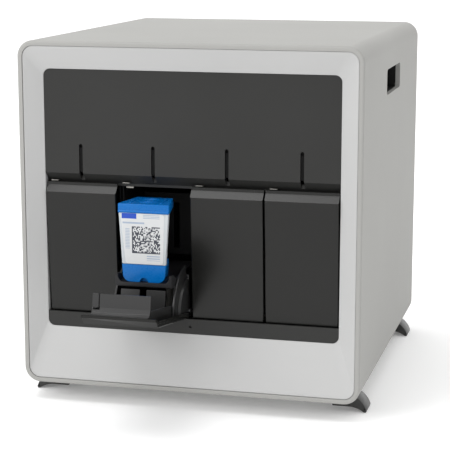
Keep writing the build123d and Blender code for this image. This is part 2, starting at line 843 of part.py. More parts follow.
def fan_rotor():
    """Fan rotor: a cup with swept blades on the housing's shaft."""
    y1 = rear_y - rear_recess - rear_wall
    y0 = y1 - fan_thickness + 4.0
    z = at_height(fan_height)
    rotor = rod_along_y(rotor_hub_radius, 0, z, y0, y1 - 2.0)
    rotor -= rod_along_y(2.0 + hinge_clearance, 0, z, y0 - 1, y1 - 4.0)
    for step in range(blade_count):
        blade = Rot(0, 360.0 / blade_count * step, 0) * Rot(0, 0, 35.0) * block(
            -7.5, 7.5, -0.8, 0.8, rotor_hub_radius - 2.0, rotor_radius)
        rotor += Pos(0, (y0 + y1 - 2.0) / 2.0, z) * blade
    return single(rotor)


def fan_guard():
    """Finger guard on the outside of the rear wall: rings on four spokes with an eye at each end."""
    y1 = rear_y - rear_recess
    z = at_height(fan_height)
    reach = math.hypot(fan_side / 2.0 - 4.75, fan_side / 2.0 - 4.75) + 4.0
    guard = None
    for radius in guard_radii:
        ring = rod_along_y(radius + guard_wire, 0, z, y1 + guard_wire, y1 + 2 * guard_wire)
        ring -= rod_along_y(radius - guard_wire, 0, z, y1, y1 + 3 * guard_wire)
        guard = ring if guard is None else guard + ring
    for angle in (45.0, 135.0, 225.0, 315.0):
        turn = Pos(0, 0, z) * Rot(0, angle, 0)
        guard += turn * block(-guard_wire, guard_wire, y1, y1 + guard_wire + 0.4, 10.0, reach - 4.0)
        guard += turn * block(-4.0, 4.0, y1, y1 + guard_wire, reach - 8.0, reach)
    return single(guard)


def power_entry():
    """Power entry module: three-pin appliance inlet below, the well and axle of the rocker above."""
    y1 = rear_y - rear_recess
    z = at_height(entry_z)
    wide = entry_width / 2.0
    high = entry_height / 2.0
    body = block(entry_x - wide - 3, entry_x + wide + 3, y1, y1 + 2.0, z - high - 3, z + high + 3)
    body = fillet(body.edges().filter_by(Axis.Y), 3.0)
    body += block(entry_x - wide, entry_x + wide, y1 - 24.0, y1 + 1.0, z - high, z + high)
    low = z - inlet_drop
    body -= block(entry_x - 12.0, entry_x + 12.0, y1 - 16.0, y1 + 3.0, low - 8.2, low + 8.2)
    for dx, dz in ((-7.0, -1.0), (0.0, 3.0), (7.0, -1.0)):
        body += block(entry_x + dx - 2.0, entry_x + dx + 2.0, y1 - 17.0, y1 - 4.0, low + dz - 1.0, low + dz + 1.0)
    up = z + switch_rise
    body -= block(entry_x - 9.4, entry_x + 9.4, y1 - 8.0, y1 + 3.0, up - 5.2, up + 5.2)
    body += post(rocker_bore_radius - hinge_clearance, entry_x, y1 - 1.0, up - 6.0, up + 6.0)
    return single(body)


def rocker_switch():
    """Power rocker, resting with its left half pressed."""
    cap = make_face(
        Polyline((8.0, 3.6), (6.5, -2.6), (-6.5, -2.6), (-8.0, 3.6))
        + ThreePointArc((-8.0, 3.6), (0.0, 2.4), (8.0, 3.6)))
    rocker = extrude(Plane.XY.offset(-4.9) * cap, amount=9.8)
    rocker -= Cylinder(rocker_bore_radius, 20.0)
    place = Pos(entry_x, rear_y - rear_recess - 1.0, at_height(entry_z) + switch_rise)
    return place * Rot(0, 0, rocker_tilt) * single(rocker)


def data_port():
    """Network socket with its metal shell."""
    y1 = rear_y - rear_recess
    z = at_height(port_z)
    shell = block(port_x - 8.0, port_x + 8.0, y1 - 21.0, y1 + 0.8, z - 6.7, z + 6.7)
    shell -= block(port_x - 5.9, port_x + 5.9, y1 - 14.0, y1 + 2.0, z - 4.0, z + 4.2)
    shell -= block(port_x - 3.0, port_x + 3.0, y1 - 14.0, y1 + 2.0, z - 5.6, z - 3.9)
    return single(shell)


def power_supply():
    """Mains supply box on the base plate behind the modules."""
    z0 = at_height(case_wall + base_wall)
    box = block(-110.0, 40.0, at_depth(226.0), at_depth(280.0), z0, z0 + 44.0)
    for step in range(10):
        x = -96.0 + step * 13.0
        box -= block(x, x + 5.0, at_depth(236.0), at_depth(270.0), z0 + 42.0, z0 + 45.0)
    return single(box)


def main_board():
    """Control board that links the modules, standing on the base plate."""
    z0 = at_height(case_wall + base_wall)
    board = block(-112.0, 112.0, at_depth(218.0), at_depth(218.0 + board_wall), z0, z0 + 130.0)
    for x in module_centres:
        board += block(x - 14.0, x + 14.0, at_depth(218.0) - 2.5, at_depth(218.1), z0 + 60.0, z0 + 68.0)
    return single(board)


def foot(side, depth):
    """Claw foot: a pad under the case that sweeps down and out to a narrow toe."""
    top = foot_height
    profile = make_face(
        Polyline((126.0, top), (foot_inside, top), (foot_inside, foot_pad), (127.5, foot_pad))
        + ThreePointArc((127.5, foot_pad), (134.0, 2.8), (139.0, 0.0))
        + Polyline((139.0, 0.0), (foot_toe, 0.0), (foot_toe + 0.7, 1.4))
        + ThreePointArc((foot_toe + 0.7, 1.4), (137.0, 8.9), (126.0, top)))
    y0 = at_depth(depth)
    shape = single(sheet(profile, y0, y0 + foot_length))
    return shape if side > 0 else mirror(shape, about=Plane.YZ)


def write(name, shape):
    """Writes one named sub-part, a solid or a group of separate solids."""
    solids = shape if isinstance(shape, list) else [shape]
    whole = solids[0] if len(solids) == 1 else Compound(children=solids)
    whole.label = name
    export_step(whole, f"parts/{name}.step")


os.makedirs("parts", exist_ok=True)

write("case_shell", case_shell())
write("front_bezel", front_bezel())
write("upper_fascia", upper_fascia())
write("light_pipes", light_pipes())
write("lower_sill", lower_sill())
write("handle_cups", handle_cups())
write("base_plate", base_plate())
write("rear_panel", rear_panel())
write("fan_frame", fan_frame())
write("fan_rotor", fan_rotor())
write("fan_guard", fan_guard())
write("power_entry", power_entry())
write("rocker_switch", rocker_switch())
write("data_port", data_port())
write("power_supply", power_supply())
write("main_board", main_board())
write("hinge_pins", hinge_pins())
write("guide_rails", guide_rails())
write("heater_blocks", heater_blocks())
write("syringe_motors", syringe_motors())
write("valve_motors", valve_motors())
write("sonic_horns", sonic_horns())
write("module_boards", module_boards())
write("latch_hooks", latch_hooks())
write("cartridge_body", Pos(module_centres[open_module - 1], 0, 0) * cartridge_body())
write("cartridge_lid", Pos(module_centres[open_module - 1], 0, 0) * cartridge_lid())
write("cartridge_base", Pos(module_centres[open_module - 1], 0, 0) * cartridge_base())

for name, side, depth in (
    ("foot_front_left", -1, foot_front_depth),
    ("foot_front_right", 1, foot_front_depth),
    ("foot_rear_left", -1, foot_rear_depth),
    ("foot_rear_right", 1, foot_rear_depth),
):
    write(name, foot(side, depth))

for number, centre in enumerate(module_centres, start=1):
    lean = door_lean(number)
    drawn_in = 0.0 if number == open_module else carriage_travel
    write(f"module_chassis_{number}", module_chassis(centre))
    write(f"door_panel_{number}", on_hinge(door_panel(), lean, centre))
    write(f"door_frame_{number}", on_hinge(door_frame(), lean, centre))
    write(f"carriage_{number}", Pos(centre, drawn_in, 0) * carriage())
    write(f"plunger_{number}", plunger(centre))
    write(f"lead_screw_{number}", lead_screw(centre))
    write(f"valve_spindle_{number}", valve_spindle(centre))
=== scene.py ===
import math

import bmesh
import bpy
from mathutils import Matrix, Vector


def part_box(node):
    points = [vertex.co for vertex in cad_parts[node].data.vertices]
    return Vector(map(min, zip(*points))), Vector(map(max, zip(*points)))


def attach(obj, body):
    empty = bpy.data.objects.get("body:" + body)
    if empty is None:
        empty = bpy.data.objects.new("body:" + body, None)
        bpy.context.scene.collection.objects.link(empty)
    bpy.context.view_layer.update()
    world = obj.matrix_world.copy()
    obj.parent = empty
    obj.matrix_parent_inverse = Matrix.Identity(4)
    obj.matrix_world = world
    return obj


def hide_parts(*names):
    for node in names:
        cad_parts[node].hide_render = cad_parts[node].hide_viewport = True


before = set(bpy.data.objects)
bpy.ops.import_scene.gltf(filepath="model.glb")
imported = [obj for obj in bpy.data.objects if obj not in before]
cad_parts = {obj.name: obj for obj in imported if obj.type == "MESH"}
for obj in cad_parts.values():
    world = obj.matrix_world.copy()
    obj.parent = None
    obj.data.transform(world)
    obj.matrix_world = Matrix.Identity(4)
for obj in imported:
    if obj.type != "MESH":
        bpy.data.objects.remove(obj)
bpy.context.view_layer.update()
bpy.ops.object.select_all(action="DESELECT")

# The bench and the light: a pale painted sweep that curves up behind and glows faintly of its own, painted
# light that lifts its shadows; a soft light overhead, one from the front left and one on the backdrop. The
# camera stands a little to the right of the analyzer and above it.
bpy.ops.mesh.primitive_plane_add(size=1.0, location=(0, 0, 0))
bench = bpy.context.object
bench.name = "bench"
bpy.ops.object.mode_set(mode="EDIT")
bpy.ops.mesh.select_all(action="SELECT")
bpy.ops.transform.resize(value=(9.0, 5.0, 1.0))
bpy.ops.mesh.select_all(action="DESELECT")
sweep = bmesh.from_edit_mesh(bench.data)
for edge in sweep.edges:
    edge.select = all(v.co.y > 2.4 for v in edge.verts)
bmesh.update_edit_mesh(bench.data)
for rise in ((0, 0.6, 0.06), (0, 0.5, 0.3), (0, 0.25, 0.7), (0, 0.05, 3.0)):
    bpy.ops.mesh.extrude_region_move(TRANSFORM_OT_translate={"value": rise})
bpy.ops.object.mode_set(mode="OBJECT")
bpy.ops.object.shade_smooth()
bench_paint_and_glow = bpy.data.materials.new("bench_paint_and_glow")
bench_paint_and_glow.use_nodes = True
nodes = bench_paint_and_glow.node_tree.nodes
links = bench_paint_and_glow.node_tree.links
cloud = nodes.new("ShaderNodeTexNoise")
cloud.inputs["Scale"].default_value = 3.0
place = nodes.new("ShaderNodeTexCoord")
tint = nodes.new("ShaderNodeValToRGB")
tint.color_ramp.elements[0].color = (0.90, 0.90, 0.90, 1)
tint.color_ramp.elements[1].color = (0.93, 0.93, 0.93, 1)
links.new(place.outputs["Object"], cloud.inputs["Vector"])
links.new(cloud.outputs["Fac"], tint.inputs["Fac"])
links.new(tint.outputs["Color"], nodes["Principled BSDF"].inputs["Base Color"])
nodes["Principled BSDF"].inputs["Roughness"].default_value = 0.9
# Painted light: the sweep glows white though it is no lamp, which lifts the shadows on it.
nodes["Principled BSDF"].inputs["Emission Color"].default_value = (1.0, 1.0, 1.0, 1)
nodes["Principled BSDF"].inputs["Emission Strength"].default_value = 0.14
bench.data.materials.append(bench_paint_and_glow)

sky = bpy.data.worlds.new("studio")
bpy.context.scene.world = sky
sky.use_nodes = True
sky.node_tree.nodes["Background"].inputs["Color"].default_value = (1.0, 1.0, 1.0, 1)
sky.node_tree.nodes["Background"].inputs["Strength"].default_value = 1.0
for name, spot, aim, size, power in (
    ("overhead", (-0.38, -0.37, 1.57), (0, -0.1, 0.17), 0.75, 7.5),
    ("front_left", (-1.5, -2.0, 1.1), (0, -0.1, 0.15), 1.2, 20.0),
    ("backdrop", (0, 0.9, 1.9), (0, 2.7, 0.5), 1.6, 12.0),
):
    lamp = bpy.data.objects.new(name, bpy.data.lights.new(name, "AREA"))
    lamp.data.size = size
    lamp.data.energy = power
    lamp.location = spot
    lamp.rotation_euler = (Vector(aim) - Vector(spot)).to_track_quat("-Z", "Y").to_euler()
    bpy.context.scene.collection.objects.link(lamp)

camera = bpy.data.objects.new("camera", bpy.data.cameras.new("camera"))
camera.data.sensor_width = 36.0
camera.data.lens = 123.075
camera.location = (0.324682, -1.26202, 0.38623)
camera.rotation_euler = (math.radians(78.9648), math.radians(0.0112), math.radians(14.3218))
bpy.context.scene.collection.objects.link(camera)
bpy.context.scene.camera = camera
bpy.context.scene.view_settings.view_transform = "Standard"

# The case: one sheet-metal wrap with rounded corners, open in front and behind,
# powder coated in a warm light grey with a faint orange-peel texture.


def coating(name, tone, shade, rough, grain, depth, metal=0.0, stretch=(1, 1, 1), mottle=9.0, sheen=0.5):
    """A finish with soft cloudy tone, a fine relief and a roughness that varies with it."""
    mat = bpy.data.materials.new(name)
    mat.use_nodes = True
    nodes = mat.node_tree.nodes
    links = mat.node_tree.links
    shader = nodes["Principled BSDF"]
    shader.inputs["Metallic"].default_value = metal
    shader.inputs["Specular IOR Level"].default_value = sheen
    place = nodes.new("ShaderNodeTexCoord")
    turn = nodes.new("ShaderNodeMapping")
    turn.inputs["Scale"].default_value = stretch
    links.new(place.outputs["Object"], turn.inputs["Vector"])
    cloud = nodes.new("ShaderNodeTexNoise")
    cloud.inputs["Scale"].default_value = mottle
    cloud.inputs["Detail"].default_value = 3.0
    links.new(turn.outputs["Vector"], cloud.inputs["Vector"])
    tint = nodes.new("ShaderNodeValToRGB")
    tint.color_ramp.elements[0].position = 0.3
    tint.color_ramp.elements[0].color = (*shade, 1)
    tint.color_ramp.elements[1].position = 0.7
    tint.color_ramp.elements[1].color = (*tone, 1)
    links.new(cloud.outputs["Fac"], tint.inputs["Fac"])
    links.new(tint.outputs["Color"], shader.inputs["Base Color"])
    fine = nodes.new("ShaderNodeTexNoise")
    fine.inputs["Scale"].default_value = grain
    fine.inputs["Detail"].default_value = 2.0
    links.new(turn.outputs["Vector"], fine.inputs["Vector"])
    relief = nodes.new("ShaderNodeBump")
    relief.inputs["Strength"].default_value = 0.5
    relief.inputs["Distance"].default_value = depth
    links.new(fine.outputs["Fac"], relief.inputs["Height"])
    links.new(relief.outputs["Normal"], shader.inputs["Normal"])
    span = nodes.new("ShaderNodeMapRange")
    span.inputs["To Min"].default_value = rough - 0.05
    span.inputs["To Max"].default_value = rough + 0.05
    links.new(fine.outputs["Fac"], span.inputs["Value"])
    links.new(span.outputs["Result"], shader.inputs["Roughness"])
    return mat


def dress(mat, *names):
    """Gives carried-over nodes their finish."""
    for name in names:
        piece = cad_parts[name]
        piece.data.materials.clear()
        piece.data.materials.append(mat)


case_coat = coating(
    "case_coat", (0.335, 0.333, 0.320), (0.322, 0.320, 0.307), 0.58, 900.0, 0.00006, sheen=0.12)
dress(case_coat, "case_shell", "rear_panel")

# The front frame: one grey moulding with an even wall that slopes back from the case's rim to the window.
# It is pushed into the case from the front, its skirt inside the wrap.
bezel_plastic = coating(
    "bezel_plastic", (0.455, 0.455, 0.452), (0.435, 0.435, 0.432), 0.5, 1500.0, 0.00004, sheen=0.25)
dress(bezel_plastic, "front_bezel")

# The sealing strip: a thin extruded ring of grey rubber that fills the joint between the case's rim
# and the front frame. It is pressed in from the front and stops a little behind the frame's edge.
frame_low, frame_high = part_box("front_bezel")
strip_wall = 0.00034
strip_reach = 0.00033
strip_middle = (frame_low + frame_high) / 2
strip_middle.y = frame_low.y + 0.00038
strip_span = frame_high - frame_low + Vector((2, 0, 2)) * strip_reach
bpy.ops.object.select_all(action="DESELECT")
bpy.ops.mesh.primitive_plane_add(size=1.0, location=strip_middle, rotation=(math.radians(90), 0, 0))
strip = bpy.context.object
strip.name = "sealing_strip"
strip.scale = (strip_span.x, strip_span.z, 1.0)
bpy.ops.object.transform_apply(location=True, rotation=True, scale=True)
bpy.ops.object.mode_set(mode="EDIT")
bpy.ops.mesh.select_all(action="SELECT")
bpy.ops.mesh.bevel(offset=0.0090, segments=10, affect="VERTICES")
bpy.ops.mesh.select_all(action="SELECT")
bpy.ops.mesh.inset(thickness=strip_wall, depth=0)
bpy.ops.mesh.delete(type="FACE")
bpy.ops.mesh.select_all(action="SELECT")
bpy.ops.mesh.extrude_region_move(TRANSFORM_OT_translate={"value": (0, 0.003, 0)})
bpy.ops.mesh.select_all(action="SELECT")
bpy.ops.mesh.normals_make_consistent(inside=False)
bpy.ops.object.mode_set(mode="OBJECT")
bpy.ops.object.shade_smooth_by_angle(angle=math.radians(40))
strip_rubber = coating(
    "strip_rubber", (0.30, 0.30, 0.295), (0.27, 0.27, 0.265), 0.7, 900.0, 0.00002, sheen=0.2)
strip.data.materials.append(strip_rubber)
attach(strip, "housing")

# The window panels: two charcoal mouldings with a spark-eroded texture, one above the doors and a sill below.
# Smoked status windows are pressed into the upper one's slots from behind.


def round_edges(width, *names):
    """Gives carried-over nodes the small round edges that moulding leaves."""
    for name in names:
        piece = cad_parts[name]
        weld = piece.modifiers.new("weld", "WELD")
        weld.merge_threshold = 0.00001
        edge = piece.modifiers.new("edge", "BEVEL")
        edge.width = width
        edge.segments = 2
        edge.limit_method = "ANGLE"
        edge.angle_limit = math.radians(32)


fascia_plastic = coating(
    "fascia_plastic", (0.024, 0.024, 0.023), (0.021, 0.021, 0.020), 0.42, 2200.0, 0.00006, sheen=0.24)
dress(fascia_plastic, "upper_fascia", "lower_sill")
round_edges(0.0004, "lower_sill")
smoked_plastic = coating(
    "smoked_plastic", (0.003, 0.003, 0.003), (0.002, 0.002, 0.002), 0.5, 60.0, 0.00001, sheen=0.1)
dress(smoked_plastic, "light_pipes")

# The doors: flat charcoal covers, each with a moulded inner frame clipped in behind it.
# The frame's round cheeks turn on the hinge pins below, and its tabs push the cartridge home.
door_plastic = coating(
    "door_plastic", (0.0075, 0.0075, 0.0065), (0.006, 0.006, 0.0052), 0.25, 2200.0, 0.00003, sheen=0.32)
liner_plastic = coating(
    "liner_plastic", (0.022, 0.022, 0.022), (0.019, 0.019, 0.019), 0.30, 1800.0, 0.00003, sheen=0.45)
for number in "1234":
    dress(door_plastic, "door_panel_" + number)
    dress(liner_plastic, "door_frame_" + number)
    round_edges(0.0008, "door_panel_" + number)
    round_edges(0.0005, "door_frame_" + number)

# The carriages: dark moulded trays, each with a nest that grips a cartridge by its foot.
# They run on square ground rails and are drawn in by their doors.
carriage_plastic = coating(
    "carriage_plastic", (0.020, 0.020, 0.022), (0.017, 0.017, 0.018), 0.38, 1800.0, 0.00005, sheen=0.3)
for number in "1234":
    dress(carriage_plastic, "carriage_" + number)
    round_edges(0.0004, "carriage_" + number)

# The module frames: one box of folded sheet steel for each bay, screwed to the base plate. Their dark coat is
# deepened to near black, painted shade of the deep bays.
# The hinge pins, guide rails and sonic horns in them are ground steel, and the latch hooks are sprung strip.
chassis_painted_shade = coating(
    "chassis_painted_shade", (0.010, 0.010, 0.0105), (0.008, 0.008, 0.0085), 0.6, 1200.0, 0.00005, sheen=0.15)
for number in "1234":
    dress(chassis_painted_shade, "module_chassis_" + number)
ground_steel = coating(
    "ground_steel", (0.52, 0.52, 0.53), (0.46, 0.46, 0.47), 0.28, 300.0, 0.00002, 1.0, (1, 12, 1))
dress(ground_steel, "hinge_pins", "guide_rails", "sonic_horns")
hook_steel = coating(
    "hook_steel", (0.34, 0.33, 0.31), (0.28, 0.27, 0.25), 0.32, 400.0, 0.00002, 1.0, (12, 1, 1))
dress(hook_steel, "latch_hooks")

# The drives: black stepper motors above and below each bay. The syringe plungers and the toothed valve
# spindles are turned and milled from a pale engineering plastic.
motor_paint = coating("motor_paint", (0.03, 0.03, 0.033), (0.024, 0.024, 0.026), 0.45, 1400.0, 0.00004)
dress(motor_paint, "syringe_motors", "valve_motors")
nut_plastic = coating("nut_plastic", (0.68, 0.67, 0.63), (0.63, 0.62, 0.58), 0.45, 1600.0, 0.00004)
for number in "1234":
    dress(nut_plastic, "plunger_" + number, "valve_spindle_" + number)

# The lead screws: ground steel bars with a rolled thread, one standing in each syringe motor and passing
# through the nut of its plunger. One is modelled for the first bay, and each bay gets a copy.


def copy_to(made, name, spot, tilt=0.0):
    """A copy of a finished piece with a mesh of its own, turned and moved to its place."""
    twin = made.copy()
    twin.data = made.data.copy()
    twin.name = name
    bpy.context.scene.collection.objects.link(twin)
    twin.location = spot
    twin.rotation_euler = (math.radians(tilt), 0, 0)
    bpy.ops.object.select_all(action="DESELECT")
    twin.select_set(True)
    bpy.context.view_layer.objects.active = twin
    bpy.ops.object.transform_apply(location=True, rotation=True, scale=True)
    return twin


module_pitch = 0.0605
thread_pitch = 0.002
thread_turns = 29
core_radius = 0.0019
screw_low, screw_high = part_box("lead_screw_1")
screw_middle = (screw_low + screw_high) / 2
bpy.ops.object.select_all(action="DESELECT")
bpy.ops.mesh.primitive_plane_add(
    size=1.0, location=(core_radius + 0.0002, 0, 0), rotation=(math.radians(90), 0, 0))
thread = bpy.context.object
thread.scale = (0.0008, 0.0013, 1.0)
bpy.ops.object.transform_apply(location=True, rotation=True, scale=True)
bpy.ops.object.mode_set(mode="EDIT")
bpy.ops.mesh.select_all(action="DESELECT")
flank = bmesh.from_edit_mesh(thread.data)
for corner in flank.verts:
    corner.select = corner.co.x > core_radius + 0.0003
bmesh.update_edit_mesh(thread.data)
bpy.ops.transform.resize(value=(1, 1, 0.5), center_override=(0, 0, 0))
bpy.ops.object.mode_set(mode="OBJECT")
turns = thread.modifiers.new("turns", "SCREW")
turns.screw_offset = thread_pitch
turns.iterations = thread_turns
turns.steps = 20
turns.render_steps = 20
bpy.ops.object.modifier_apply(modifier="turns")
bpy.ops.object.mode_set(mode="EDIT")
bpy.ops.mesh.select_all(action="SELECT")
bpy.ops.mesh.normals_make_consistent(inside=False)
bpy.ops.object.mode_set(mode="OBJECT")
thread.location = screw_middle - Vector((0, 0, 0.0285))
bpy.ops.mesh.primitive_cylinder_add(
    vertices=28, radius=core_radius, depth=screw_high.z - screw_low.z, location=screw_middle)
core = bpy.context.object
end = core.modifiers.new("end", "BEVEL")
end.width = 0.0005
bpy.ops.object.modifier_apply(modifier="end")
thread.select_set(True)
bpy.context.view_layer.objects.active = thread
bpy.ops.object.join()
bpy.ops.object.transform_apply(location=True, rotation=True, scale=True)
bpy.ops.object.shade_smooth_by_angle(angle=math.radians(30))
thread.data.materials.append(ground_steel)
for bay in range(4):
    number = str(bay + 1)
    twin = copy_to(thread, "lead_thread_" + number, (bay * module_pitch, 0, 0))
    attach(twin, "lead_screw_" + number)
    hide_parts("lead_screw_" + number)
bpy.data.objects.remove(thread)

# The heaters, the boards and the base: heater blocks behind the bays coloured near black, painted shade of
# the deep bays, circuit boards of green laminate behind those, and zinc plated sheet for the base plate, the
# supply's box and the socket's shell.
heater_painted_shade = coating(
    "heater_painted_shade", (0.008, 0.008, 0.0085), (0.006, 0.006, 0.0065), 0.6, 2600.0, 0.00006, sheen=0.15)
dress(heater_painted_shade, "heater_blocks")
board_mask = coating(
    "board_mask", (0.02, 0.14, 0.07), (0.012, 0.10, 0.05), 0.3, 500.0, 0.00003, mottle=160.0)
dress(board_mask, "module_boards", "main_board")
zinc_plate = coating(
    "zinc_plate", (0.56, 0.57, 0.58), (0.48, 0.49, 0.50), 0.36, 260.0, 0.00003, metal=1.0, mottle=40.0)
dress(zinc_plate, "base_plate", "power_supply", "data_port")

# The cups behind the hand holes: dark grey mouldings, one glued to the inside of each case wall,
# so that fingers meet no raw edge and nothing falls into the instrument. Their grey is deepened to near
# black, painted shade of the hollow.
cup_plastic = coating(
    "cup_plastic", (0.012, 0.012, 0.012), (0.010, 0.010, 0.010), 0.5, 1600.0, 0.00006, sheen=0.2)
dress(cup_plastic, "handle_cups")

# The fan and the power entry: black glass-filled mouldings held in cut-outs of the rear wall.
# The rotor turns in its housing, and the rocker tips in the entry's face.
fan_plastic = coating("fan_plastic", (0.022, 0.022, 0.023), (0.017, 0.017, 0.018), 0.42, 1500.0, 0.00004)
dress(fan_plastic, "fan_frame", "fan_rotor", "power_entry", "rocker_switch")

# The finger guard: five rings of bright plated wire on four welded spokes, each spoke ending in a flat eye
# that a screw holds against the rear wall.
guard_chrome = coating("guard_chrome", (0.72, 0.73, 0.74), (0.66, 0.67, 0.68), 0.16, 700.0, 0.00001, 1.0)
wall_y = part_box("rear_panel")[1].y
guard_low, guard_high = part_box("fan_guard")
guard_middle = Vector((0, wall_y + 0.00108, (guard_low.z + guard_high.z) / 2))
guard_corners = (45, 135, 225, 315)
eye_distance = 0.0588
wires = []
for radius in (0.014, 0.0205, 0.027, 0.0335, 0.040):
    bpy.ops.mesh.primitive_torus_add(
        major_segments=96, minor_segments=10, major_radius=radius, minor_radius=0.0011,
        location=guard_middle + Vector((0, 0.0019, 0)), rotation=(math.radians(90), 0, 0))
    wires.append(bpy.context.object)
for corner in guard_corners:
    tilt = math.radians(corner)
    along = Vector((math.sin(tilt), 0, math.cos(tilt)))
    bpy.ops.mesh.primitive_cylinder_add(
        vertices=12, radius=0.0010, depth=0.046, location=guard_middle + along * 0.0335,
        rotation=(0, tilt, 0))
    wires.append(bpy.context.object)
    bpy.ops.mesh.primitive_torus_add(
        major_segments=32, minor_segments=8, major_radius=0.0030, minor_radius=0.0010,
        location=guard_middle + along * eye_distance, rotation=(math.radians(90), 0, 0))
    wires.append(bpy.context.object)
bpy.ops.object.select_all(action="DESELECT")
for wire in wires:
    wire.select_set(True)
guard = wires[0]
bpy.context.view_layer.objects.active = guard
bpy.ops.object.join()
bpy.ops.object.transform_apply(location=True, rotation=True, scale=True)
bpy.ops.object.shade_smooth_by_angle(angle=math.radians(50))
guard.name = "wire_guard"
guard.data.materials.append(guard_chrome)
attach(guard, "housing")
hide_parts("fan_guard")

# The screws: zinc plated steel pan heads with a cross recess, four through the guard's eyes,
# eight around the rear wall and one up into each foot.


def brick(name, low, high):
    """A block between two corners, ready for edit mode with nothing selected."""
    bpy.ops.object.select_all(action="DESELECT")
    centre = [(a + b) / 2 for a, b in zip(low, high)]
    bpy.ops.mesh.primitive_cube_add(size=1.0, location=centre, scale=[b - a for a, b in zip(low, high)])
    bpy.ops.object.transform_apply(location=True, rotation=True, scale=True)
    made = bpy.context.object
    made.name = name
    bpy.ops.object.mode_set(mode="EDIT")
    bpy.ops.mesh.select_all(action="DESELECT")
    return made


def pick(made, kind, test):
    """Selects the faces, edges or corners of a mesh in edit mode whose middles pass a test."""
    bpy.ops.mesh.select_mode(type=kind)
    bpy.ops.mesh.select_all(action="DESELECT")
    mesh = bmesh.from_edit_mesh(made.data)
    for item in {"VERT": mesh.verts, "EDGE": mesh.edges, "FACE": mesh.faces}[kind]:
        if kind == "VERT":
            item.select = test(item.co)
        else:
            item.select = test(sum((v.co for v in item.verts), Vector()) / len(item.verts))
    mesh.select_flush_mode()
    bmesh.update_edit_mesh(made.data)


def soften(made, width, steps=3):
    """Leaves edit mode and rounds the sharp edges."""
    if bpy.context.mode == "EDIT_MESH":
        bpy.ops.object.mode_set(mode="OBJECT")
    bpy.ops.object.select_all(action="DESELECT")
    made.select_set(True)
    bpy.context.view_layer.objects.active = made
    edge = made.modifiers.new("edge", "BEVEL")
    edge.width = width
    edge.segments = steps
    edge.limit_method = "ANGLE"
    edge.angle_limit = math.radians(35)
    bpy.ops.object.modifier_apply(modifier="edge")
    bpy.ops.object.shade_smooth_by_angle(angle=math.radians(40))


bpy.ops.object.select_all(action="DESELECT")
bpy.ops.mesh.primitive_cylinder_add(vertices=32, radius=0.0031, depth=0.0019, location=(0, 0, 0.00095))
screw = bpy.context.object
bpy.ops.object.transform_apply(location=True, rotation=True, scale=True)
for size in ((0.0036, 0.0008, 0.0014), (0.0008, 0.0036, 0.0014)):
    bpy.ops.mesh.primitive_cube_add(size=1.0, location=(0, 0, 0.0019), scale=size)
    slot = bpy.context.object
    cut = screw.modifiers.new("recess", "BOOLEAN")
    cut.object = slot
    bpy.ops.object.select_all(action="DESELECT")
    screw.select_set(True)
    bpy.context.view_layer.objects.active = screw
    bpy.ops.object.modifier_apply(modifier="recess")
    bpy.data.objects.remove(slot)
soften(screw, 0.00035)
screw_zinc = coating("screw_zinc", (0.50, 0.50, 0.49), (0.42, 0.42, 0.41), 0.3, 900.0, 0.00001, 1.0)
screw.data.materials.append(screw_zinc)
places = []
for corner in guard_corners:
    tilt = math.radians(corner)
    along = Vector((math.sin(tilt), 0, math.cos(tilt)))
    places.append(("guard", guard_middle + along * eye_distance + Vector((0, 0.0005, 0)), -90))
for x, z in ((-0.127, 0.030), (0, 0.028), (0.127, 0.030), (-0.127, 0.155), (0.127, 0.155),
             (-0.127, 0.283), (0, 0.284), (0.127, 0.283)):
    places.append(("rear", (x, wall_y - 0.0001, z), -90))
for x in (-0.120, 0.120):
    for y in (-0.0718, 0.1712):
        places.append(("foot", (x, y, 0.0043), 180))
for number, (kind, spot, tilt) in enumerate(places):
    head = copy_to(screw, "%s_screw_%d" % (kind, number + 1), spot, tilt)
    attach(head, "housing")
bpy.data.objects.remove(screw)

# The latch fingers: strips of spring steel that reach forward from the bay roofs over the doors' top edges,
# each with its tip turned up a little. One is modelled for the first bay, and each bay gets a copy.
finger_x = -1.5 * module_pitch - 0.0233
finger = brick("latch_finger", (finger_x - 0.003, -0.0990, 0.1823), (finger_x + 0.003, -0.0910, 0.1829))
pick(finger, "FACE", lambda c: c.y < -0.0989)
bpy.ops.mesh.extrude_region_move(TRANSFORM_OT_translate={"value": (0, -0.0024, 0.0005)})
soften(finger, 0.0002)
finger.data.materials.append(hook_steel)
for bay in range(4):
    twin = copy_to(finger, "latch_finger_%d" % (bay + 1), (bay * module_pitch, 0, 0))
    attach(twin, "housing")
bpy.data.objects.remove(finger)

# The feet: dark grey claws moulded in glass-filled plastic, one screwed up under each corner of the case
# and sweeping outwards to the bench.
foot_plastic = coating(
    "foot_plastic", (0.024, 0.024, 0.023), (0.020, 0.020, 0.019), 0.30, 1500.0, 0.00003, sheen=0.4)
for corner in ("front_left", "front_right", "rear_left", "rear_right"):
    dress(foot_plastic, "foot_" + corner)
    round_edges(0.0013, "foot_" + corner)

